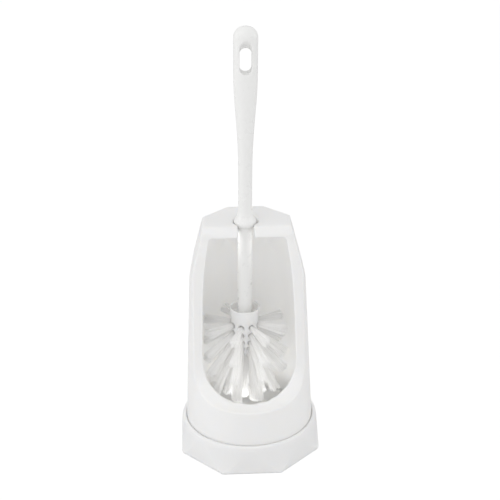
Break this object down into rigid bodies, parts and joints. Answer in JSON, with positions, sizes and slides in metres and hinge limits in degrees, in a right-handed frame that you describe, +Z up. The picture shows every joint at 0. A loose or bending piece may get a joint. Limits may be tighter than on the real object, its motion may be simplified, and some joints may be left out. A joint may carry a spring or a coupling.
{
  "type": "toilet brush and holder",
  "caption": "White plastic toilet brush hanging in a free-standing holder with an octagonal base, a scooped open front and a slit seat.",
  "frame": {"origin": "on the floor under the middle of the holder's octagonal base", "axes": "+Z up along the holder's axis, the open front faces -Y, +X to the viewer's right when facing the open front"},
  "size_m": [0.125, 0.125, 0.3837],
  "materials": {
    "shell_plastic": "satin moulded polypropylene, opaque white",
    "handle_plastic": "smooth moulded plastic, opaque white",
    "hub_plastic": "slightly translucent white moulded plastic",
    "bristle": "bundled white polymer filaments, slightly translucent"
  },
  "bodies": {
    "holder": {"holder_shell": "shell_plastic", "base_plinth": "shell_plastic"},
    "brush": {"brush_handle": "handle_plastic", "brush_hub": "hub_plastic", "tuft_a1": "bristle", "tuft_a2": "bristle", "tuft_a3": "bristle", "tuft_a4": "bristle", "tuft_a5": "bristle", "tuft_a6": "bristle", "tuft_a7": "bristle", "tuft_a8": "bristle", "tuft_b1": "bristle", "tuft_b2": "bristle", "tuft_b3": "bristle", "tuft_b4": "bristle", "tuft_b5": "bristle", "tuft_b6": "bristle", "tuft_b7": "bristle", "tuft_b8": "bristle", "tuft_c1": "bristle", "tuft_c2": "bristle", "tuft_c3": "bristle", "tuft_c4": "bristle", "tuft_c5": "bristle", "tuft_c6": "bristle", "tuft_c7": "bristle", "tuft_c8": "bristle", "tuft_d1": "bristle", "tuft_d2": "bristle", "tuft_d3": "bristle", "tuft_d4": "bristle", "tuft_d5": "bristle", "tuft_d6": "bristle", "tuft_d7": "bristle", "tuft_d8": "bristle", "tuft_e1": "bristle", "tuft_e2": "bristle", "tuft_e3": "bristle", "tuft_e4": "bristle", "tuft_e5": "bristle", "tuft_e6": "bristle", "tuft_f1": "bristle"}
  },
  "joints": [
    {"name": "brush_draw_out", "type": "slide", "parent": "holder", "child": "brush", "axis": [0.04, -0.6416, 0.766], "range_m": [0, 0.16]}
  ]
}
